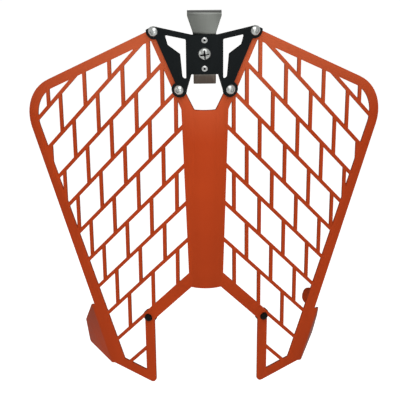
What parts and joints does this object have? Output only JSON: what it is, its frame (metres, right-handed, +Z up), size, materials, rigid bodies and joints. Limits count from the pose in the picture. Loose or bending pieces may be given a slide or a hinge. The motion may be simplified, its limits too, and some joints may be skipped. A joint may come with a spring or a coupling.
{
  "type": "motorcycle headlight guard",
  "caption": "Folded sheet-metal grille that shields a motorcycle headlight, with swept wings, legs, a bolted bracket plate, a hook hanger and rubber bumpers.",
  "frame": {"origin": "midway between the two bolt holes of the hook, on the rear face of its rear leg", "axes": "+Z up along the spine, -Y to the front of the motorcycle, +X to the right seen from the front"},
  "size_m": [0.371, 0.0883, 0.4343],
  "materials": {
    "orange_powder_coat": "satin",
    "black_powder_coat": "satin",
    "brushed_stainless": "brushed",
    "polished_stainless": "polished",
    "rubber": "matte"
  },
  "bodies": {
    "root": {"guard_sheet": "orange_powder_coat", "bracket_plate": "black_powder_coat", "hanger_bracket": "brushed_stainless", "upper_right_screw": "polished_stainless", "upper_left_screw": "polished_stainless", "lower_right_screw": "polished_stainless", "lower_left_screw": "polished_stainless", "centre_screw": "polished_stainless", "centre_washer": "polished_stainless", "centre_nut": "polished_stainless", "upper_rivet": "polished_stainless", "upper_rivet_mandrel": "polished_stainless", "lower_rivet": "polished_stainless", "lower_rivet_mandrel": "polished_stainless", "right_bumper": "rubber", "left_bumper": "rubber"}
  },
  "joints": []
}
